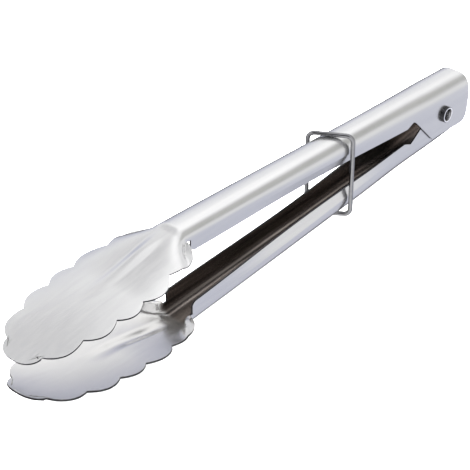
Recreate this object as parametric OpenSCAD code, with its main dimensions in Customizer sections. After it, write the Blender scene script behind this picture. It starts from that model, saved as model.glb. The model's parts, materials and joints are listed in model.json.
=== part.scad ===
// Spring loaded kitchen tongs: two stamped arms on a hollow rivet, a torsion spring and a sliding wire ring.
// Millimetres, +Z up. The heads point along -X and the rivet's axis is the Y axis, with the origin at its middle.
// An arm is drawn in its own frame first: `s` is the distance from the rivet towards the head, and `z`
// is the height above the rivet's axis. upper_arm() and lower_arm() turn it to the angle that the ring holds.

/* [Overall] */
// distance from the rivet to the tips
reach = 284; // [250:1:320]
// distance from the rivet to the back ends
tail = 21.7; // [18:0.1:24]
// thickness of the sheet steel
sheet = 0.9; // [0.7:0.1:1.2]
// angle of each arm above or below the middle plane, in degrees
half_open = 2.41; // [1.5:0.01:3.5]

/* [Channel] */
// height at which the side wall begins to turn over into the crown, at the neck
bend = 10.5; // [8:0.1:12]
// the same height at the rivet
bend_rear = 7; // [5:0.1:8]
// rise of the rounded crown above the neck's bend
crown_rise = 5.7; // [3:0.1:6.5]
// squareness of the crown: 2 is an ellipse, more is flatter with tighter corners
crown_power = 2.8; // [2:0.1:4]
// half of the outside width at the rivet
rear_half = 8.9; // [7.5:0.1:10]
// half of the outside width at the waist
waist_half = 7.8; // [5.5:0.1:8]
// half of the outside width at the neck
neck_half = 7.8; // [6.5:0.1:9]
// distance from the rivet to the waist
waist_at = 98; // [80:1:130]
// length of the level part of the channel in front of the rivet
ear_front = 10; // [9:0.5:12]
// lean of the side walls towards each other at the waist
pinch = 1.6; // [0:0.1:2.5]
// height of the side wall's edge just in front of the ear
wall_edge_rear = 2.9; // [1:0.1:4]
// height of the side wall's edge at the neck
wall_edge_neck = 4.9; // [3:0.1:6]
// radius of the side wall's front corner
wall_corner = 3; // [2:0.5:5]

/* [Ear] */
// depth of the ear below the rivet's axis
ear_drop = 10.6; // [9:0.1:11.5]
// radius of the ear's back corner
ear_corner = 4.2; // [3:0.1:6]
// radius of the arm's slightly curved back edge, seen from the side
end_radius = 40; // [30:1:80]
// distance from the rivet to the point of the relief notch
relief_at = 28; // [26:0.5:34]
// height of the point of the relief notch
relief_top = 5.1; // [4:0.1:7]
// air between the nested ears, on each side
ear_gap = 0.15; // [0.1:0.05:0.3]
// how much shorter the inner ears are, so that they clear the outer arm's bend
inner_ear_trim = 4.6; // [4.4:0.1:5.2]

/* [Head] */
// length of the scalloped head
head_length = 89.8; // [80:1:100]
// fall of the head's rim from neck to tip, before the tip's own curl
head_fall = 10.8; // [8:0.1:13]
// extra curl of the tip towards the other arm
tip_curl = 4.2; // [2:0.1:6]
// height of the head's dished back above its rim
dish = 2; // [1:0.1:4]
// height of the narrow ridge along the back of the head
ridge = 0.9; // [0:0.1:2]
// half of the ridge's width
ridge_half = 4.5; // [3:0.5:7]
// bulge of a scallop as a share of its width
scallop = 0.23; // [0.12:0.01:0.3]

/* [Rivet] */
// radius of the hole through the rivet
rivet_bore = 3.2; // [2.5:0.1:3.3]
// outside radius of the rivet
rivet_radius = 3.6; // [3.5:0.1:4]
// radius of the rivet's swaged ends, which stand out from the ears
rivet_lip = 4.1; // [4:0.1:5.5]
// air between the rivet and the ears' holes
running_gap = 0.05; // [0.02:0.01:0.1]

/* [Spring] */
// diameter of the spring wire
spring_wire = 1.6; // [1.2:0.1:2]
// radius of the coil to the middle of its wire
coil_radius = 5.2; // [4.8:0.1:5.6]
// length of the legs that push the arms apart
leg_length = 46; // [30:1:60]

/* [Lock ring] */
// diameter of the ring's wire
ring_wire = 2.2; // [1.8:0.1:2.6]
// width of the ring between the middles of its upright wires
ring_width = 21.2; // [20.5:0.1:24]
// turn of the ring about the upright axis, in degrees
ring_turn = 27; // [0:0.1:30]
// distance from the rivet to the ring
ring_at = 85.5; // [50:0.5:180]
// bend radius at the ring's corners, to the middle of its wire
ring_corner = 3.2; // [2.5:0.1:5]
// air between the ring and the arms' crowns
ring_gap = 0.1; // [0.05:0.05:0.4]

/* [Hidden] */
$fn = 48;
neck_at = reach - head_length;
// gap along the arm between the side wall's front edge and the first scallop
notch = 2.2;
wall_end = neck_at - notch;
// air and metal between the outsides of the two nested ears
nest = sheet + ear_gap;
// the inner arm widens to the outer arm's width between these distances from the rivet
nest_ends = [relief_at + 2, 70];
// length of the relief notch behind and in front of its point
relief_back = 2;
relief_front = 5;
crown_top = bend + crown_rise;
// one row of each list for every cusp between two scallops: distance from the tip, and half width
cusp_back = [68.7, 51.2, 37.1, 21.3, 6.3];
cusp_half = [17.2, 19.3, 18.8, 16.4, 9.8];
cusp_count = len(cusp_back);
scallop_steps = 7;
crown_steps = 9;
wall_steps = 5;
ear_steps = 3;
long_steps = 14;
half_points = crown_steps + wall_steps;
// width by which the scallops start outside the bend
shoulder = 0.4;
// the crown's section turns into the head's arch over this share of the first scallop
spread_end = 0.8;
// the arch settles to the dish at this share of the head's length
arch_end = 0.45;
// fullness of the arch across the head: 2 is a parabola, more is flatter with steeper edges
arch_power = 2.4;
// the arch loses this share of its height towards the tip, most of it at the very end
tip_flatten = 0.7;
flatten_power = 5;
// the ridge rises and falls over these shares of the head's length, and ends at the last one
ridge_rise = 0.25;
ridge_fall = 0.41;
ridge_end = 0.62;
// fall of the rim follows these powers of the distance along the head
fall_power = 0.8;
curl_power = 6;
ring_half_height = ring_at * sin(half_open) + crown_top * cos(half_open) + ring_gap + ring_wire / 2;
// turns either side of the coil's middle
half_turns = 2.25;
coil_pitch = 2.15;
turn_steps = 24;
leg_steps = 8;
// sideways place of a leg's end, and the air between it and the arm that it pushes
leg_end_y = 2.2;
leg_air = 0.5;
wire_sides = 10;
// the rivet's swaged end: its length, the share of it before the chamfer, and the air between it and the ear
lip_rise = 1.8;
lip_straight = 0.8;
lip_air = 0.1;
// pieces of one solid run this far into each other
overlap = 0.02;

function mix(a, b, t) = a + (b - a) * t;
function clamp01(t) = min(1, max(0, t));
function smooth(t) = let (c = clamp01(t)) c * c * (3 - 2 * c);
// share of the head's length that lies behind the distance s
function along_head(s) = clamp01((s - neck_at) / head_length);

// --- channel ---------------------------------------------------------------------------------------

// half of the channel's outside width; `tuck` is 1 for the arm whose ears lie inside the other's
function channel_half(s, tuck) =
    let (back = pow(1 - clamp01((s - ear_front) / (waist_at - ear_front)), 3))
    let (front = pow(clamp01((s - waist_at) / (neck_at - waist_at)), 2))
    waist_half + (rear_half - waist_half) * back + (neck_half - waist_half) * front
    - tuck * nest * (1 - smooth((s - nest_ends[0]) / (nest_ends[1] - nest_ends[0])));

// depth of an ear below the rivet's axis
function ear_depth(tuck) = ear_drop - tuck * inner_ear_trim;

// height at which a section's side wall begins to turn over into its crown
function bend_height(s) = mix(bend_rear, bend, smooth((s - ear_front) / (neck_at - ear_front)));

// height of the side wall's free edge, with the relief notch behind and the round corner in front
function wall_edge(s, tuck) =
    let (corner = clamp01((s - wall_end + wall_corner) / wall_corner))
    lookup(s, [
        [ear_front, -ear_depth(tuck)],
        [relief_at - relief_back, relief_top - 1],
        [relief_at, relief_top],
        [relief_at + relief_front, wall_edge_rear],
        [wall_end, wall_edge_neck]
    ]) + wall_corner * (1 - sqrt(1 - corner * corner));

// how far the free edge leans inwards from the bend above it
function wall_lean(s) =
    let (share = clamp01((s - nest_ends[0]) / (neck_at - nest_ends[0])))
    pinch * pow(sin(180 * share), 2);

wall_stations = concat(
    [for (i = [0 : ear_steps]) mix(ear_front, relief_at - relief_back, i / ear_steps)],
    [relief_at, relief_at + relief_front / 2],
    [for (i = [0 : long_steps]) mix(relief_at + relief_front, wall_end - wall_corner, i / long_steps)],
    [for (share = [0.75, 0.5, 0.25, 0.1, 0]) wall_end - share * wall_corner]
);

// --- head ------------------------------------------------------------------------------------------

rim_corners = concat(
    [[neck_at, neck_half + shoulder]],
    [for (i = [0 : cusp_count - 1]) [reach - cusp_back[i], cusp_half[i]]]
);

// point on the scalloped rim: whole numbers of t are the cusps
function rim_point(t) =
    let (i = min(floor(t), cusp_count - 1))
    let (f = t - i)
    let (a = rim_corners[i])
    let (b = rim_corners[i + 1])
    let (bulge = 4 * scallop * f * (1 - f))
    [mix(a[0], b[0], f) - (b[1] - a[1]) * bulge, mix(a[1], b[1], f) + (b[0] - a[0]) * bulge];

function rim_height(s) =
    bend - head_fall * pow(along_head(s), fall_power) - tip_curl * pow(along_head(s), curl_power);

// the crown spreads out over the head as a broad arch with a narrow ridge along it
function arch_height(s) =
    mix(crown_rise, dish, smooth(along_head(s) / arch_end))
    * (1 - tip_flatten * pow(along_head(s), flatten_power));
function ridge_height(s, y) =
    ridge * smooth(along_head(s) / ridge_rise) * smooth((ridge_end - along_head(s)) / ridge_fall)
    * pow(1 - pow(min(1, y / ridge_half), 2), 2);

// --- rows of points across the sheet ---------------------------------------------------------------

// share of the crown's half width at point i, close together where the crown turns down
function crown_share(i) = pow(sin(90 * i / crown_steps), 2 / crown_power);
// share of the crown's rise at point i; the points after the bend have none
function crown_height(i) = i < crown_steps ? pow(cos(90 * i / crown_steps), 2 / crown_power) : 0;

// outside of one half of a channel section, from the crown to the wall's edge, as [s, y, z]
function wall_row(s, tuck) =
    let (half = channel_half(s, tuck))
    let (low = bend_height(s))
    concat(
        [for (i = [0 : crown_steps])
            [s, half * crown_share(i), mix(low, crown_top, crown_height(i))]],
        [for (i = [1 : wall_steps])
            [s, half - wall_lean(s) * i / wall_steps, mix(low, wall_edge(s, tuck), i / wall_steps)]]
    );

// height of the swell at a share of its half width, from the neck's crown (spread 0) to the arch (spread 1)
function swell_share(share, spread) =
    pow(1 - pow(min(1, share), mix(crown_power, arch_power, spread)), mix(1 / crown_power, 1, spread));

// outside of one half of a head section; rows bow forward so that the last one is the tip's own scallop
function head_row(t) =
    let (rim = rim_point(t))
    let (spread = smooth(t / spread_end))
    let (crown_end = mix(neck_half, rim[1] * crown_steps / half_points, smooth(t)))
    let (swell_half = mix(crown_end, rim[1], spread))
    let (bow = cusp_back[cusp_count - 1] * pow(t / cusp_count, 3))
    [for (i = [0 : half_points])
        let (y = i <= crown_steps
            ? crown_end * mix(crown_share(i), i / crown_steps, smooth(t))
            : mix(crown_end, rim[1], (i - crown_steps) / wall_steps))
        let (s = rim[0] + bow * sqrt(1 - pow(min(1, y / rim[1]), arch_power)))
        let (swell = arch_height(s) * swell_share(y / swell_half, spread))
        [s, y, rim_height(s) + swell + ridge_height(s, y)]];

function mirrored_row(half_row) = concat(
    [for (i = [half_points : -1 : 1]) [half_row[i][0], -half_row[i][1], half_row[i][2]]],
    half_row
);

// the inside of a row lies one sheet thickness below it, square to the section
function inner_row(row) = [for (i = [0 : len(row) - 1])
    let (a = row[max(i - 1, 0)])
    let (b = row[min(i + 1, len(row) - 1)])
    let (run = [b[1] - a[1], b[2] - a[2]])
    row[i] + sheet * [0, run[1], -run[0]] / norm(run)];

function reversed(list) = [for (i = [len(list) - 1 : -1 : 0]) list[i]];
function closed_loop(half_row) =
    let (row = mirrored_row(half_row))
    concat(row, reversed(inner_row(row)));

function arm_rows(tuck) = concat(
    [for (s = wall_stations) wall_row(s, tuck)],
    [for (i = [0 : cusp_count * scallop_steps]) head_row(i / scallop_steps)]
);

// --- sheet metal -----------------------------------------------------------------------------------

// solid skin over loops of equal length; each loop runs along the outside and back along the inside
module loft(loops) {
    n = len(loops[0]);
    last = len(loops) - 1;
    points = [for (loop = loops) for (p = loop) [-p[0], p[1], p[2]]];
    sides = [for (r = [0 : last - 1]) for (i = [0 : n - 1])
        let (a = r * n + i)
        let (b = r * n + (i + 1) % n)
        each [[a, b + n, b], [a, a + n, b + n]]];
    caps = [for (i = [0 : n / 2 - 2])
        let (a = i)
        let (b = n - 1 - i)
        each [[a, b - 1, b], [a, a + 1, b - 1],
            [last * n + a, last * n + b, last * n + b - 1],
            [last * n + a, last * n + b - 1, last * n + a + 1]]];
    polyhedron(points, concat(sides, caps), convexity = 8);
}

// side view of an ear, with x towards the head and y up
module ear_outline(depth) {
    corner_x = end_radius - tail - sqrt(pow(end_radius, 2) - pow(depth - ear_corner, 2)) + ear_corner;
    intersection() {
        translate([end_radius - tail, 0])
            circle(end_radius);
        union() {
            translate([-tail, ear_corner - depth])
                square([tail + ear_front, depth - ear_corner + crown_top + 1]);
            translate([corner_x, -depth])
                square([ear_front - corner_x, ear_corner + overlap]);
            translate([corner_x, ear_corner - depth])
                circle(ear_corner);
        }
    }
}

// the straight back part of the channel with its two ears and their hole
module ear_channel(tuck) {
    section = [for (p = closed_loop(wall_row(ear_front, tuck))) [p[1], p[2]]];
    difference() {
        intersection() {
            translate([-ear_front, 0, 0])
                rotate([90, 0, 90])
                    linear_extrude(ear_front + tail)
                        polygon(section);
            rotate([90, 0, 180])
                translate([0, 0, -rear_half - 1])
                    linear_extrude(2 * rear_half + 2)
                        ear_outline(ear_depth(tuck));
        }
        rotate([90, 0, 0])
            cylinder(r = rivet_radius + running_gap, h = 2 * rear_half + 2, center = true);
    }
}

module arm(tuck) {
    loft([for (row = arm_rows(tuck)) closed_loop(row)]);
    ear_channel(tuck);
}

// --- sub-parts -------------------------------------------------------------------------------------

module upper_arm() {
    color("silver")
        rotate([0, half_open, 0])
            arm(0);
}

module lower_arm() {
    color("gainsboro")
        mirror([0, 0, 1])
            rotate([0, half_open, 0])
                arm(1);
}

// a tube whose ends are swaged into thicker collars outside the ears
module pivot_rivet() {
    lip_at = rear_half + lip_air;
    lip_end = lip_at + lip_rise;
    edge_end = lip_at + lip_straight * lip_rise;
    color("dimgray")
        rotate([90, 0, 0])
            rotate_extrude()
                polygon([
                    [rivet_bore, -lip_end], [rivet_radius, -lip_end],
                    [rivet_lip, -edge_end], [rivet_lip, -lip_at], [rivet_radius, -lip_at],
                    [rivet_radius, lip_at], [rivet_lip, lip_at], [rivet_lip, edge_end],
                    [rivet_radius, lip_end], [rivet_bore, lip_end]
                ]);
}

// middle of the spring's wire: up one leg, round the coil and out along the other leg
function coil_point(turn) =
    [coil_radius * cos(360 * turn), coil_pitch * turn, coil_radius * sin(360 * turn)];
function leg_point(side, share) =
    let (reached = crown_top - sheet - spring_wire / 2 - leg_air + leg_length * sin(half_open))
    [-leg_length * share, side * mix(coil_pitch * half_turns, leg_end_y, share),
        side * mix(coil_radius, reached, share)];
function spring_path() = concat(
    [for (i = [leg_steps : -1 : 1]) leg_point(-1, i / leg_steps)],
    [for (i = [0 : 2 * half_turns * turn_steps]) coil_point(i / turn_steps - half_turns)],
    [for (i = [1 : leg_steps]) leg_point(1, i / leg_steps)]
);

// round wire along a path that is nowhere parallel to Y
module wire(path, r) {
    last = len(path) - 1;
    n = wire_sides;
    points = [for (k = [0 : last])
        let (run = path[min(k + 1, last)] - path[max(k - 1, 0)])
        let (across = cross(run, [0, 1, 0]) / norm(cross(run, [0, 1, 0])))
        let (up = cross(across, run) / norm(run))
        for (i = [0 : n - 1]) path[k] + r * (across * cos(360 * i / n) + up * sin(360 * i / n))];
    sides = [for (k = [0 : last - 1]) for (i = [0 : n - 1])
        let (a = k * n + i)
        let (b = k * n + (i + 1) % n)
        each [[a, a + n, b + n], [a, b + n, b]]];
    polyhedron(points, concat(sides, [[for (i = [0 : n - 1]) i]], [[for (i = [n - 1 : -1 : 0]) last * n + i]]));
}

module torsion_spring() {
    color("darkgray")
        wire(spring_path(), spring_wire / 2);
}

module ring_side(length) {
    rotate([0, 90, 0])
        cylinder(d = ring_wire, h = length, center = true);
}

module ring_bend() {
    rotate_extrude(angle = 90)
        translate([ring_corner, 0])
            circle(d = ring_wire);
}

// a closed rectangle of wire, standing upright and turned a little
module lock_ring() {
    straight_w = ring_width / 2 - ring_corner;
    straight_h = ring_half_height - ring_corner;
    color("slategray")
        translate([-ring_at, 0, 0])
            rotate([90, 0, 90 + ring_turn])
                for (half = [0, 180]) {
                    rotate(half) {
                        translate([0, ring_half_height, 0])
                            ring_side(2 * straight_w + overlap);
                        translate([ring_width / 2, 0, 0])
                            rotate(90)
                                ring_side(2 * straight_h + overlap);
                        translate([straight_w, straight_h, 0])
                            ring_bend();
                        translate([-straight_w, straight_h, 0])
                            rotate(90)
                                ring_bend();
                    }
                }
}

upper_arm();
lower_arm();
pivot_rivet();
torsion_spring();
lock_ring();
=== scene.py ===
"""Looks of the spring loaded kitchen tongs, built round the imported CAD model.

Lengths are in metres. The heads point along -X, the rivet lies along Y, and +Z is up.
The arms are drawn as in the CAD part: s is the distance from the rivet towards the head,
and z is the height above the rivet's axis, in millimetres until place_on_arm() turns them.
"""

import json
import math

import bmesh
import bpy
from mathutils import Matrix, Vector


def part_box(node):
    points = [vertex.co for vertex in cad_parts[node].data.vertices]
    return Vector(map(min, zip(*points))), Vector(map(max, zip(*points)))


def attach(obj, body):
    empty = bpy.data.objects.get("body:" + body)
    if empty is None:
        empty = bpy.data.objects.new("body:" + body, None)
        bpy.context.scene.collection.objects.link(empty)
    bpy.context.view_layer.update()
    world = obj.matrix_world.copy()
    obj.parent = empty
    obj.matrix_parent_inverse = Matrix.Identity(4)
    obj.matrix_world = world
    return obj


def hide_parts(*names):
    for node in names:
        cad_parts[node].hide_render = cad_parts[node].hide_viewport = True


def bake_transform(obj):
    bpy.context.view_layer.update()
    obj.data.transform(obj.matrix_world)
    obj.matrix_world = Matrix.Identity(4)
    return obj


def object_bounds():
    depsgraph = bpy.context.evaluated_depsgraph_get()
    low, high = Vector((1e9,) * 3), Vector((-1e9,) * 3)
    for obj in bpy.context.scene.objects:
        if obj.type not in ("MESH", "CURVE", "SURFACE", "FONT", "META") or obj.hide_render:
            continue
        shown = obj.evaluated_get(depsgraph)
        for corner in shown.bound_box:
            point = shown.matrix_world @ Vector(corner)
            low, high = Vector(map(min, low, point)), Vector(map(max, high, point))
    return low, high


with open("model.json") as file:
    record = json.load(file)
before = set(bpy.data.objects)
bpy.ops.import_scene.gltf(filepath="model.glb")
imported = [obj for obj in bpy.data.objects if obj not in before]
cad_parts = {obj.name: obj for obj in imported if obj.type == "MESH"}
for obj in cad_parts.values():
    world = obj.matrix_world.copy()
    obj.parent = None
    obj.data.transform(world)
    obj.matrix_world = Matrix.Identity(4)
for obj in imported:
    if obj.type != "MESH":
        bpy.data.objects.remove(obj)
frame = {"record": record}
CAD_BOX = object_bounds()

# --- sizes, in millimetres and degrees -------------------------------------------------------------

MM = 0.001

REACH = 284
TAIL = 21.7
SHEET = 0.9
HALF_OPEN = 2.41

BEND = 10.5
BEND_REAR = 7
CROWN_RISE = 5.7
CROWN_POWER = 2.8
REAR_HALF = 8.9
WAIST_HALF = 7.8
NECK_HALF = 7.8
WAIST_AT = 98
PINCH = 1.6
WALL_EDGE_REAR = 2.9
WALL_EDGE_NECK = 4.9
WALL_CORNER = 3

EAR_FRONT = 10
EAR_DROP = 10.6
EAR_CORNER = 4.2
END_RADIUS = 40
END_DEPTH = 10
EAR_GAP = 0.15
INNER_EAR_TRIM = 4.6
RELIEF_AT = 28
RELIEF_TOP = 5.1
RELIEF_RISE = 1
RELIEF_BACK = 2
RELIEF_FRONT = 5
NEST_ENDS = (30, 70)

HEAD_LENGTH = 89.8
NOTCH = 2.2
HEAD_FALL = 10.8
FALL_POWER = 0.8
FALL_START = 0.05
TIP_CURL = 4.2
CURL_POWER = 6
DISH = 2
RIDGE = 1.3
RIDGE_HALF = 4.5
RIDGE_RISE = 0.25
RIDGE_FALL = 0.41
RIDGE_END = 0.62
SCALLOP = 0.23
SHOULDER = 0.4
SPREAD_LENGTH = 17
# half widths of the smooth arch that the scallops are cut from, at distances from the rivet
ARCH_HALVES = [(194, 20), (212, 22), (226, 23), (240, 23), (255, 22), (268, 20), (284, 15)]
ARCH_END = 0.45
ARCH_POWER = 2.4
TIP_FLATTEN = 0.7
FLATTEN_POWER = 5
CUSP_BACK = (68.7, 51.2, 37.1, 21.3, 6.3)
CUSP_HALF = (17.2, 19.3, 18.8, 16.4, 9.8)

RIVET_RADIUS = 3.6
RIVET_LIP = 4.1
RIVET_LIP_RISE = 1.8
RIVET_LIP_ROUND = 0.35
RIVET_BORE_ROUND = 0.15
RUNNING_GAP = 0.05

SPRING_WIRE = 1.6
COIL_RADIUS = 5.2
HALF_TURNS = 2.25
COIL_PITCH = 2.15
LEG_LENGTH = 46
LEG_END_Y = 2.2
LEG_AIR = 0.5

RING_WIRE = 2.2
RING_WIDTH = 21.2
RING_TURN = 27
RING_CORNER = 3.2

NECK_AT = REACH - HEAD_LENGTH
WALL_END = NECK_AT - NOTCH
CROWN_TOP = BEND + CROWN_RISE
NEST = SHEET + EAR_GAP
CUSP_COUNT = len(CUSP_BACK)
RIM_CORNERS = [(NECK_AT, NECK_HALF + SHOULDER)] + [
    (REACH - back, half) for back, half in zip(CUSP_BACK, CUSP_HALF)
]

# --- fineness of the meshes ------------------------------------------------------------------------

CROWN_STEPS = 18
WALL_STEPS = 10
HALF_POINTS = CROWN_STEPS + WALL_STEPS
CORNER_STEPS = 10
REAR_STEPS = 8
EAR_STEPS = 8
RELIEF_STEPS = 3
LONG_STEPS = 56
SCALLOP_STEPS = 18
# the head's rows leave the rim square to the arm, then fan out from the last cusps to the tip's outline
ROW_FULLNESS = (2, 1.6, 1.3, 1.05, 0.85, 0.7, 0.58, 0.5)
EDGE_ROUND = 0.13
# an edge that turns more than this many degrees is rounded on the arms, or stays sharp on the small parts
ROUNDED_ANGLE = 50
SHARP_ANGLE = 60
# points of a skin that are closer than this become one
WELD = 0.03
HOLE_SIDES = 96
RIVET_SIDES = 72
BORE_ROUND_STEPS = 4
LIP_ROUND_STEPS = 6
RING_SIDES = 28
RING_CORNER_STEPS = 12
SPRING_SIDES = 16
LEG_STEPS = 12
TURN_STEPS = 40


def mix(a, b, t):
    return a + (b - a) * t


def clamp01(t):
    return min(1.0, max(0.0, t))


def smooth(t):
    t = clamp01(t)
    return t * t * (3 - 2 * t)


def lookup(x, points):
    """Straight lines through (x, value) points, level outside them."""
    if x <= points[0][0]:
        return points[0][1]
    for (x0, y0), (x1, y1) in zip(points, points[1:]):
        if x <= x1:
            return mix(y0, y1, (x - x0) / (x1 - x0))
    return points[-1][1]


# --- shape of an arm -------------------------------------------------------------------------------


def channel_half(s, tuck):
    """Half of the channel's outside width; tuck is 1 for the arm whose ears lie inside the other's."""
    back = (1 - clamp01((s - EAR_FRONT) / (WAIST_AT - EAR_FRONT))) ** 3
    front = clamp01((s - WAIST_AT) / (NECK_AT - WAIST_AT)) ** 2
    half = WAIST_HALF + (REAR_HALF - WAIST_HALF) * back + (NECK_HALF - WAIST_HALF) * front
    nested = 1 - smooth((s - NEST_ENDS[0]) / (NEST_ENDS[1] - NEST_ENDS[0]))
    return half - tuck * NEST * nested


def bend_height(s):
    """Height at which a section's side wall begins to turn over into its crown."""
    return mix(BEND_REAR, BEND, smooth((s - EAR_FRONT) / (NECK_AT - EAR_FRONT)))


def back_edge_curve(s, z):
    """How far a point near the back end moves in, so that the end is a slight arc seen from the side."""
    depth = END_RADIUS - math.sqrt(END_RADIUS**2 - z**2)
    return depth * clamp01(1 - (s + TAIL) / END_DEPTH)


def wall_edge(s, tuck):
    """Height of the side wall's free edge, from the ear's round back corner to the neck's."""
    depth = EAR_DROP - tuck * INNER_EAR_TRIM
    if s < EAR_CORNER - TAIL:
        reach_in = EAR_CORNER - (s + TAIL)
        return EAR_CORNER - depth - math.sqrt(EAR_CORNER**2 - reach_in**2)
    corner = clamp01((s - WALL_END + WALL_CORNER) / WALL_CORNER)
    line = [
        (EAR_FRONT, -depth),
        (RELIEF_AT - RELIEF_BACK, RELIEF_TOP - RELIEF_RISE),
        (RELIEF_AT, RELIEF_TOP),
        (RELIEF_AT + RELIEF_FRONT, WALL_EDGE_REAR),
        (WALL_END, WALL_EDGE_NECK),
    ]
    return lookup(s, line) + WALL_CORNER * (1 - math.sqrt(1 - corner**2))


def wall_lean(s):
    """How far the free edge leans inwards from the bend above it."""
    share = clamp01((s - NEST_ENDS[0]) / (NECK_AT - NEST_ENDS[0]))
    return PINCH * math.sin(math.pi * share) ** 2


def quarter(i):
    return math.pi / 2 * i / CROWN_STEPS


def wall_row(s, tuck):
    """Outside of one half of a channel section, from the crown to the wall's edge."""
    half = channel_half(s, tuck)
    low = bend_height(s)
    row = []
    for i in range(CROWN_STEPS + 1):
        share = math.sin(quarter(i)) ** (2 / CROWN_POWER)
        rise = math.cos(quarter(i)) ** (2 / CROWN_POWER) if i < CROWN_STEPS else 0.0
        row.append((half * share, mix(low, CROWN_TOP, rise)))
    for i in range(1, WALL_STEPS + 1):
        share = i / WALL_STEPS
        row.append((half - wall_lean(s) * share, mix(low, wall_edge(s, tuck), share)))
    return [(s + back_edge_curve(s, z), y, z) for y, z in row]


def along_head(s):
    return clamp01((s - NECK_AT) / HEAD_LENGTH)


def rim_point(t):
    """Point on the scalloped rim: whole numbers of t are the cusps."""
    i = min(int(t), CUSP_COUNT - 1)
    f = t - i
    (s0, y0), (s1, y1) = RIM_CORNERS[i], RIM_CORNERS[i + 1]
    bulge = 4 * SCALLOP * f * (1 - f)
    return mix(s0, s1, f) - (y1 - y0) * bulge, mix(y0, y1, f) + (s1 - s0) * bulge


def rim_height(s):
    u = along_head(s)
    return BEND - HEAD_FALL * u**FALL_POWER * smooth(u / FALL_START) - TIP_CURL * u**CURL_POWER


def arch_height(s):
    u = along_head(s)
    return mix(CROWN_RISE, DISH, smooth(u / ARCH_END)) * (1 - TIP_FLATTEN * u**FLATTEN_POWER)


def ridge_height(s, y):
    u = along_head(s)
    across = (1 - min(1.0, y / RIDGE_HALF) ** 2) ** 2
    return RIDGE * smooth(u / RIDGE_RISE) * smooth((RIDGE_END - u) / RIDGE_FALL) * across


def swell_height(s, y):
    """Height of the head above its rim: the neck's crown spreads out into a broad arch."""
    spread = smooth((s - NECK_AT) / SPREAD_LENGTH)
    half = mix(NECK_HALF, lookup(s, ARCH_HALVES), spread)
    inner = mix(CROWN_POWER, ARCH_POWER, spread)
    outer = mix(1 / CROWN_POWER, 1, spread)
    return arch_height(s) * (1 - min(1.0, y / half) ** inner) ** outer


def head_row(t, fullness):
    """Outside of one half of a head section, bowed forward: a low fullness leaves the rim more steeply."""
    rim_s, rim_y = rim_point(t)
    crown_end = mix(NECK_HALF, rim_y * CROWN_STEPS / HALF_POINTS, smooth(t))
    bow = CUSP_BACK[-1] * (t / CUSP_COUNT) ** 3
    at_tip = smooth(t - CUSP_COUNT + 1)
    row = []
    for i in range(HALF_POINTS + 1):
        if i <= CROWN_STEPS:
            round_share = math.sin(quarter(i)) ** (2 / CROWN_POWER)
            y = crown_end * mix(round_share, i / CROWN_STEPS, smooth(t))
        else:
            y = mix(crown_end, rim_y, (i - CROWN_STEPS) / WALL_STEPS)
        y = mix(y, rim_y * math.sin(math.pi / 2 * i / HALF_POINTS), at_tip)
        s = rim_s + bow * (1 - min(1.0, y / rim_y) ** ARCH_POWER) ** fullness
        row.append((s, y, rim_height(s) + swell_height(s, y) + ridge_height(s, y)))
    return row


def steps(start, end, count):
    return [mix(start, end, i / count) for i in range(count)]


def channel_stations():
    """Distances from the rivet of the channel's sections, from the back end to the neck."""
    stations = [
        EAR_CORNER * (1 - math.cos(math.pi / 2 * i / CORNER_STEPS)) - TAIL
        for i in range(CORNER_STEPS)
    ]
    stations += steps(EAR_CORNER - TAIL, EAR_FRONT, REAR_STEPS)
    stations += steps(EAR_FRONT, RELIEF_AT - RELIEF_BACK, EAR_STEPS)
    stations += steps(RELIEF_AT - RELIEF_BACK, RELIEF_AT, RELIEF_STEPS)
    stations += steps(RELIEF_AT, RELIEF_AT + RELIEF_FRONT, RELIEF_STEPS)
    stations += steps(RELIEF_AT + RELIEF_FRONT, WALL_END - WALL_CORNER, LONG_STEPS)
    stations += [
        WALL_END - WALL_CORNER * (1 - math.sin(math.pi / 2 * i / CORNER_STEPS))
        for i in range(CORNER_STEPS + 1)
    ]
    return stations


def place_on_arm(point, side):
    """Place in the frame of (s, y, z) on the upper arm (side 1) or the lower arm (side -1)."""
    s, y, z = point
    a = math.radians(HALF_OPEN)
    x = -s * math.cos(a) + z * math.sin(a)
    height = s * math.sin(a) + z * math.cos(a)
    return Vector((x, y, side * height)) * MM


def arm_skin(side, tuck):
    """Outer surface of an arm as a grid, with an open slot between the side wall and the first scallop."""
    rows = [wall_row(s, tuck) for s in channel_stations()]
    slot_row = len(rows) - 1
    rows += [
        head_row(i / SCALLOP_STEPS, ROW_FULLNESS[0])
        for i in range(CUSP_COUNT * SCALLOP_STEPS + 1)
    ]
    rows += [head_row(CUSP_COUNT, fullness) for fullness in ROW_FULLNESS[1:]]
    columns = range(-HALF_POINTS, HALF_POINTS + 1)
    bm = bmesh.new()
    grid = []
    for row in rows:
        line = []
        for j in columns:
            s, y, z = row[abs(j)]
            line.append(bm.verts.new(place_on_arm((s, math.copysign(y, j), z), side)))
        grid.append(line)
    for r in range(len(rows) - 1):
        for k, j in enumerate(columns[:-1]):
            in_wall = min(abs(j), abs(j + 1)) >= CROWN_STEPS
            if r == slot_row and in_wall:
                continue
            corners = [grid[r][k], grid[r][k + 1], grid[r + 1][k + 1], grid[r + 1][k]]
            bm.faces.new(corners if side > 0 else corners[::-1])
    bmesh.ops.remove_doubles(bm, verts=bm.verts, dist=WELD * MM)
    return bm


# --- making objects --------------------------------------------------------------------------------


def to_object(bm, name, materials):
    mesh = bpy.data.meshes.new(name)
    bm.to_mesh(mesh)
    bm.free()
    for material in materials:
        mesh.materials.append(material)
    obj = bpy.data.objects.new(name, mesh)
    bpy.context.scene.collection.objects.link(obj)
    return obj


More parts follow.
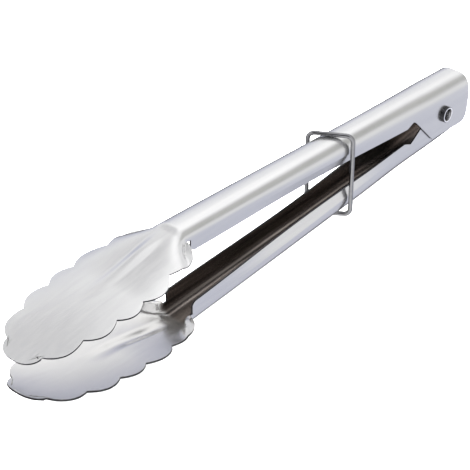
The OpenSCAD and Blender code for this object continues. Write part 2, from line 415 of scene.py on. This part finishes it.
def apply_modifiers(obj):
    """Turns the object's modifiers into plain mesh."""
    bpy.context.view_layer.update()
    graph = bpy.context.evaluated_depsgraph_get()
    mesh = bpy.data.meshes.new_from_object(obj.evaluated_get(graph), depsgraph=graph)
    mesh.name = obj.name
    obj.modifiers.clear()
    old = obj.data
    obj.data = mesh
    bpy.data.meshes.remove(old)


def shade_smooth(obj):
    for polygon in obj.data.polygons:
        polygon.use_smooth = True


def stand_for(obj, node, body):
    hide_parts(node)
    if body:
        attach(obj, body)


def add_modifier(obj, kind, **settings):
    modifier = obj.modifiers.new(kind.lower(), kind)
    for key, value in settings.items():
        setattr(modifier, key, value)
    return modifier


def hole_cutter():
    bm = bmesh.new()
    radius = (RIVET_RADIUS + RUNNING_GAP) * MM
    bmesh.ops.create_cone(
        bm, cap_ends=True, segments=HOLE_SIDES, radius1=radius, radius2=radius, depth=4 * REAR_HALF * MM,
        matrix=Matrix.Rotation(math.pi / 2, 4, "X"),
    )
    return to_object(bm, "hole_cutter", [])


def make_arm(name, side, tuck, materials, cutter):
    """Sheet metal arm: the skin gets its thickness, its rivet holes and softly rounded cut edges."""
    obj = to_object(arm_skin(side, tuck), name, materials)
    add_modifier(
        obj, "SOLIDIFY", thickness=SHEET * MM, offset=-1, use_quality_normals=True,
        material_offset=1, material_offset_rim=2,
    )
    add_modifier(obj, "BOOLEAN", operation="DIFFERENCE", object=cutter, solver="EXACT")
    add_modifier(
        obj, "BEVEL", width=EDGE_ROUND * MM, segments=2, limit_method="ANGLE",
        angle_limit=math.radians(ROUNDED_ANGLE), use_clamp_overlap=False,
    )
    apply_modifiers(obj)
    shade_smooth(obj)
    add_modifier(obj, "WEIGHTED_NORMAL", weight=80, keep_sharp=False)
    apply_modifiers(obj)
    return obj


def join_rings(bm, rings, closed):
    """Faces between neighbouring rings of vertices, as one list for each pair of rings."""
    bands = []
    count = len(rings)
    for k in range(count if closed else count - 1):
        a, b = rings[k], rings[(k + 1) % count]
        sides = len(a)
        band = []
        for i in range(sides):
            n = (i + 1) % sides
            band.append(bm.faces.new([a[i], a[n], b[n], b[i]]))
        bands.append(band)
    return bands


def sweep(path, radius, sides, closed):
    """Round wire along a path of points. Its frame is carried along the path, so it doesn't twist."""
    bm = bmesh.new()
    count = len(path)
    rings = []
    across = None
    for k, point in enumerate(path):
        after = path[(k + 1) % count] if closed else path[min(k + 1, count - 1)]
        before = path[k - 1] if closed else path[max(k - 1, 0)]
        run = (after - before).normalized()
        if across is None:
            across = run.orthogonal().normalized()
        across = (across - run * across.dot(run)).normalized()
        up = run.cross(across)
        ring = []
        for i in range(sides):
            angle = 2 * math.pi * i / sides
            ring.append(bm.verts.new(point + radius * (across * math.cos(angle) + up * math.sin(angle))))
        rings.append(ring)
    join_rings(bm, rings, closed)
    if not closed:
        bm.faces.new(rings[0][::-1])
        bm.faces.new(rings[-1])
    bmesh.ops.recalc_face_normals(bm, faces=bm.faces)
    return bm


def ring_path():
    """Middle of the ring's wire: a rounded rectangle, upright and turned about the ring's middle."""
    low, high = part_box("lock_ring")
    middle = (low + high) / 2
    half_height = (high.z - low.z - RING_WIRE * MM) / 2
    corner = RING_CORNER * MM
    straight_w = RING_WIDTH * MM / 2 - corner
    straight_h = half_height - corner
    across = Vector((0, 1, 0))
    across.rotate(Matrix.Rotation(math.radians(RING_TURN), 3, "Z"))
    path = []
    for turn, (w, h) in enumerate([(1, 1), (-1, 1), (-1, -1), (1, -1)]):
        for i in range(RING_CORNER_STEPS + 1):
            angle = math.pi / 2 * (turn + i / RING_CORNER_STEPS)
            u = w * straight_w + corner * math.cos(angle)
            v = h * straight_h + corner * math.sin(angle)
            path.append(middle + across * u + Vector((0, 0, v)))
    return path


def spring_path():
    """Up one leg, round the coil and out along the other leg."""
    reached = CROWN_TOP - SHEET - SPRING_WIRE / 2 - LEG_AIR
    reached += LEG_LENGTH * math.sin(math.radians(HALF_OPEN))

    def leg_point(side, share):
        y = mix(COIL_PITCH * HALF_TURNS, LEG_END_Y, share)
        z = mix(COIL_RADIUS, reached, share)
        return Vector((-LEG_LENGTH * share, side * y, side * z)) * MM

    path = [leg_point(-1, i / LEG_STEPS) for i in range(LEG_STEPS, 0, -1)]
    for i in range(int(2 * HALF_TURNS * TURN_STEPS) + 1):
        turn = i / TURN_STEPS - HALF_TURNS
        angle = 2 * math.pi * turn
        x, z = COIL_RADIUS * math.cos(angle), COIL_RADIUS * math.sin(angle)
        path.append(Vector((x, COIL_PITCH * turn, z)) * MM)
    path += [leg_point(1, i / LEG_STEPS) for i in range(1, LEG_STEPS + 1)]
    return path


def rivet_profile():
    """Outline of the tube as (radius, y) points, from the bore at one end round to the other end."""
    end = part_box("pivot_rivet")[1].y
    bore = frame["record"]["mounts"][0]["dims"]["r_mm"] * MM
    inner_round = RIVET_BORE_ROUND * MM
    outer_round = RIVET_LIP_ROUND * MM
    profile = []
    for i in range(BORE_ROUND_STEPS + 1):
        angle = math.pi / 2 * i / BORE_ROUND_STEPS
        r = bore + inner_round * (1 - math.cos(angle))
        profile.append((r, end - inner_round * (1 - math.sin(angle))))
    for i in range(LIP_ROUND_STEPS + 1):
        angle = math.pi / 2 * i / LIP_ROUND_STEPS
        r = RIVET_LIP * MM - outer_round * (1 - math.sin(angle))
        profile.append((r, end - outer_round * (1 - math.cos(angle))))
    collar = end - RIVET_LIP_RISE * MM
    profile += [(RIVET_LIP * MM, collar), (RIVET_RADIUS * MM, collar), (RIVET_RADIUS * MM, end / 2)]
    return profile + [(r, -y) for r, y in reversed(profile)]


def rivet_mesh():
    """Tube with a swaged collar at each end, whose sides have the second material, a near-black painted
    shade.
    """
    profile = rivet_profile()
    bm = bmesh.new()
    rings = []
    for r, y in profile:
        ring = []
        for i in range(RIVET_SIDES):
            angle = 2 * math.pi * i / RIVET_SIDES
            ring.append(bm.verts.new((r * math.cos(angle), y, r * math.sin(angle))))
        rings.append(ring)
    side_from = (RIVET_LIP - RIVET_LIP_ROUND) * MM
    for k, band in enumerate(join_rings(bm, rings, closed=True)):
        nearest = min(profile[k][0], profile[(k + 1) % len(profile)][0])
        for face in band:
            face.material_index = 1 if nearest > side_from else 0
    bmesh.ops.recalc_face_normals(bm, faces=bm.faces)
    return bm


# --- materials -------------------------------------------------------------------------------------

# noises in the steel, as their scale per metre along X, Y and Z
STREAK_SCALE = (12, 600, 600)
GRAIN_SCALE = (25, 3500, 3500)
CLOUD_SCALE = (60, 60, 60)
# the last one is for the painted shade streaks inside the channel
CHANNEL_SHADE_SCALE = (5, 230, 230)
# the part of a noise's values that its results are spread over
NOISE_ENDS = (0.3, 0.7)
# height of the grain, in millimetres
GRAIN_DEPTH = 0.0003
# the channel's painted shade streaks fade out over this far either side of the neck, in millimetres
FADE_HALF = 1.5


def new_node(tree, kind, **settings):
    node = tree.nodes.new(kind)
    for key, value in settings.items():
        if key in node.inputs:
            node.inputs[key].default_value = value
        else:
            setattr(node, key, value)
    return node


def stretched_noise(tree, coords, scale, detail):
    """Noise over object coordinates, with a different scale (per metre) along each axis."""
    mapping = new_node(tree, "ShaderNodeMapping", Scale=scale)
    tree.links.new(coords, mapping.inputs["Vector"])
    noise = new_node(tree, "ShaderNodeTexNoise", Scale=1.0, Detail=detail, Roughness=0.6)
    tree.links.new(mapping.outputs["Vector"], noise.inputs["Vector"])
    return noise.outputs["Fac"]


def map_range(tree, value, ends, results=(0, 1), interpolation="LINEAR"):
    """The value, moved from between the two ends to between the two results."""
    node = new_node(tree, "ShaderNodeMapRange", interpolation_type=interpolation)
    node.inputs["From Min"].default_value = ends[0]
    node.inputs["From Max"].default_value = ends[1]
    node.inputs["To Min"].default_value = results[0]
    node.inputs["To Max"].default_value = results[1]
    tree.links.new(value, node.inputs["Value"])
    return node.outputs["Result"]


def spread_noise(tree, noise, results=(0, 1)):
    """Noise stays near its middle, so the middle part of it is spread over the results."""
    return map_range(tree, noise, NOISE_ENDS, results)


def mix_colours(tree, share, a, b):
    """Colour from a to b by share. Each of a and b is a colour or another node's output."""
    node = new_node(tree, "ShaderNodeMix", data_type="RGBA")
    tree.links.new(share, node.inputs["Factor"])
    for name, colour in (("A", a), ("B", b)):
        if isinstance(colour, tuple):
            node.inputs[name].default_value = (*colour, 1)
        else:
            tree.links.new(colour, node.inputs[name])
    return node.outputs["Result"]


def steel(name, dark, light, roughness, wave_depth=0.006):
    """Rolled and polished steel: long fine grain, cloudy polish marks and a slight waviness."""
    material = bpy.data.materials.new(name)
    material.use_nodes = True
    tree = material.node_tree
    shader = tree.nodes["Principled BSDF"]
    shader.inputs["Metallic"].default_value = 1.0
    coords = new_node(tree, "ShaderNodeTexCoord").outputs["Object"]
    streaks = stretched_noise(tree, coords, STREAK_SCALE, detail=4.0)
    fine = stretched_noise(tree, coords, GRAIN_SCALE, detail=2.0)
    clouds = stretched_noise(tree, coords, CLOUD_SCALE, detail=3.0)

    colour = mix_colours(tree, spread_noise(tree, streaks), dark, light)
    tree.links.new(colour, shader.inputs["Base Color"])

    half_roughness = (roughness[0] / 2, roughness[1] / 2)
    blend = new_node(tree, "ShaderNodeMath", operation="ADD")
    tree.links.new(spread_noise(tree, streaks, half_roughness), blend.inputs[0])
    tree.links.new(spread_noise(tree, clouds, half_roughness), blend.inputs[1])
    tree.links.new(blend.outputs["Value"], shader.inputs["Roughness"])

    waves = new_node(tree, "ShaderNodeBump", Strength=1.0, Distance=wave_depth * MM)
    tree.links.new(clouds, waves.inputs["Height"])
    lines = new_node(tree, "ShaderNodeBump", Strength=1.0, Distance=GRAIN_DEPTH * MM)
    tree.links.new(fine, lines.inputs["Height"])
    tree.links.new(waves.outputs["Normal"], lines.inputs["Normal"])
    tree.links.new(lines.outputs["Normal"], shader.inputs["Normal"])
    return material


def paint_channel_shade(material, dark, light):
    """Fades a steel to painted shade and reflection, as dark lengthwise streaks behind the neck, along the
    arm.
    """
    tree = material.node_tree
    shader = tree.nodes["Principled BSDF"]
    polished = shader.inputs["Base Color"].links[0].from_socket
    coords = new_node(tree, "ShaderNodeTexCoord").outputs["Object"]
    parts = new_node(tree, "ShaderNodeSeparateXYZ")
    tree.links.new(coords, parts.inputs["Vector"])
    fade = (-(NECK_AT + FADE_HALF) * MM, -(NECK_AT - FADE_HALF) * MM)
    behind_neck = map_range(tree, parts.outputs["X"], fade, interpolation="SMOOTHSTEP")
    # painted shade and reflection: dark lengthwise streaks in the channel's colour
    streaks = stretched_noise(tree, coords, CHANNEL_SHADE_SCALE, detail=2.0)
    painted_shade_streaks = mix_colours(tree, spread_noise(tree, streaks), dark, light)
    colour = mix_colours(tree, behind_neck, polished, painted_shade_streaks)
    tree.links.new(colour, shader.inputs["Base Color"])


# --- studio ----------------------------------------------------------------------------------------

# each patch: its direction, the half angles where it is full and where it ends, and its colour.
# A direction is (azimuth, elevation) in degrees: azimuth 0 is +X and 90 is +Y
STUDIO_PATCHES = [
    ((28, 48), 6, 27, (1.50, 1.50, 1.50)),
    ((78, 56), 12, 30, (0.80, 0.80, 0.81)),
    ((50, 2), 8, 31, (0.67, 0.69, 0.82)),
    ((-38, -48), 20, 34, (0.84, 0.86, 0.98)),
    ((-42, 28), 8, 36, (0.56, 0.56, 0.54)),
    ((-140, -30), 14, 32, (1.50, 1.50, 1.50)),
    ((100, -34), 26, 44, (0.14, 0.14, 0.15)),
    ((-158, 32), 14, 34, (0.08, 0.08, 0.09)),
    ((40, -34), 26, 48, (0.08, 0.08, 0.09)),
]
SURROUNDINGS = (1.10, 1.10, 1.11)
# strength of the plain white light that the floor gets
FLOOR_LIGHT = 6


def towards(azimuth, elevation):
    a, e = math.radians(azimuth), math.radians(elevation)
    return (math.cos(a) * math.cos(e), math.sin(a) * math.cos(e), math.sin(e))


def make_world():
    """Pale surroundings with soft light and dark patches for glossy rays, and plain white for the rest."""
    world = bpy.data.worlds.new("studio")
    world.use_nodes = True
    tree = world.node_tree
    background = tree.nodes["Background"]
    direction = new_node(tree, "ShaderNodeTexCoord").outputs["Generated"]
    colour = SURROUNDINGS
    for at, inner, outer, patch in STUDIO_PATCHES:
        dot = new_node(tree, "ShaderNodeVectorMath", operation="DOT_PRODUCT")
        tree.links.new(direction, dot.inputs[0])
        dot.inputs[1].default_value = towards(*at)
        ends = (math.cos(math.radians(outer)), math.cos(math.radians(inner)))
        share = map_range(tree, dot.outputs["Value"], ends, interpolation="SMOOTHSTEP")
        colour = mix_colours(tree, share, colour, patch)
    path = new_node(tree, "ShaderNodeLightPath")
    plain = (FLOOR_LIGHT, FLOOR_LIGHT, FLOOR_LIGHT)
    seen = mix_colours(tree, path.outputs["Is Glossy Ray"], plain, colour)
    tree.links.new(seen, background.inputs["Color"])
    bpy.context.scene.world = world


def make_floor():
    bm = bmesh.new()
    bmesh.ops.create_grid(bm, x_segments=8, y_segments=8, size=6.0)
    material = bpy.data.materials.new("pale_floor")
    material.use_nodes = True
    shader = material.node_tree.nodes["Principled BSDF"]
    shader.inputs["Base Color"].default_value = (0.93, 0.93, 0.93, 1)
    shader.inputs["Roughness"].default_value = 0.9
    shader.inputs["Specular IOR Level"].default_value = 0.0
    floor = to_object(bm, "floor", [material])
    floor.location = (0, 0, CAD_BOX[0].z)
    floor.visible_glossy = False


def make_camera():
    """Camera at the photograph's angle: azimuth, elevation and roll in degrees, distances in metres."""
    azimuth, elevation, roll = math.radians(-49.8), math.radians(32.43), math.radians(-0.39)
    target = Vector((-0.14535, 0, 0))
    distance, aside, below = 0.6208, -0.00563, -0.00385
    back = Vector((
        math.sin(azimuth) * math.cos(elevation),
        -math.cos(azimuth) * math.cos(elevation),
        math.sin(elevation),
    ))
    level = Vector((math.cos(azimuth), math.sin(azimuth), 0))
    over = back.cross(level)
    right = level * math.cos(roll) + over * math.sin(roll)
    up = over * math.cos(roll) - level * math.sin(roll)
    data = bpy.data.cameras.new("camera")
    data.lens = 107.9
    data.sensor_width = 36
    data.clip_start, data.clip_end = 0.01, 50
    camera = bpy.data.objects.new("camera", data)
    place = target + back * distance + right * aside + up * below
    camera.matrix_world = Matrix.Translation(place) @ Matrix((right, up, back)).transposed().to_4x4()
    bpy.context.scene.collection.objects.link(camera)
    bpy.context.scene.camera = camera


# --- the tongs -------------------------------------------------------------------------------------

# the inside of the channels gets painted shade and reflection as dark lengthwise streaks behind the neck,
# and the heads are polished on both sides
outside_steel = steel("arm_steel", (0.57, 0.57, 0.575), (0.60, 0.60, 0.60), (0.20, 0.27))
inside_steel = steel("arm_steel_inside", (0.57, 0.565, 0.56), (0.60, 0.595, 0.59), (0.20, 0.27))
# the sheet's cut edges are painted near black: painted shade and reflection along the edges, darker than
# the steel itself
painted_dark_edge_steel = steel("arm_steel_edge", (0.02, 0.02, 0.022), (0.05, 0.05, 0.055), (0.25, 0.4))
paint_channel_shade(inside_steel, (0.045, 0.038, 0.035), (0.44, 0.39, 0.36))
arm_steels = [outside_steel, inside_steel, painted_dark_edge_steel]

cutter = hole_cutter()
upper = make_arm("upper_arm_sheet", 1, 0, arm_steels, cutter)
lower = make_arm("lower_arm_sheet", -1, 1, arm_steels, cutter)
bpy.data.objects.remove(cutter)
stand_for(upper, "upper_arm", "upper_arm")
stand_for(lower, "lower_arm", "lower_arm")

# the ring's polished wire gets a much darker colour than the arms' steel: painted shade, standing for its
# darker reflections
ring_steel = steel("ring_steel", (0.24, 0.24, 0.25), (0.29, 0.29, 0.30), (0.04, 0.08), wave_depth=0.002)
ring_mesh = sweep(ring_path(), RING_WIRE / 2 * MM, RING_SIDES, closed=True)
ring = to_object(ring_mesh, "lock_ring_wire", [ring_steel])
shade_smooth(ring)
stand_for(ring, "lock_ring", "lock_ring")

rivet_steel = steel("rivet_steel", (0.86, 0.86, 0.87), (0.94, 0.94, 0.95), (0.10, 0.18))
# the collars' sides are painted near black: painted shade of the gap between collar and ear
rivet_side_painted_shade = steel("rivet_steel_side", (0.03, 0.03, 0.035), (0.08, 0.08, 0.085), (0.3, 0.4))
rivet = to_object(rivet_mesh(), "pivot_rivet_tube", [rivet_steel, rivet_side_painted_shade])
shade_smooth(rivet)
rivet.data.set_sharp_from_angle(angle=math.radians(SHARP_ANGLE))
stand_for(rivet, "pivot_rivet", "lower_arm")

spring_steel = steel("spring_steel", (0.38, 0.38, 0.39), (0.48, 0.48, 0.49), (0.25, 0.35))
spring_mesh = sweep(spring_path(), SPRING_WIRE / 2 * MM, SPRING_SIDES, closed=False)
spring = to_object(spring_mesh, "torsion_spring_wire", [spring_steel])
shade_smooth(spring)
spring.data.set_sharp_from_angle(angle=math.radians(SHARP_ANGLE))
stand_for(spring, "torsion_spring", None)
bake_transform(spring)

make_world()
make_floor()
make_camera()
bpy.context.scene.view_settings.view_transform = "Standard"
bpy.context.scene.view_settings.look = "None"
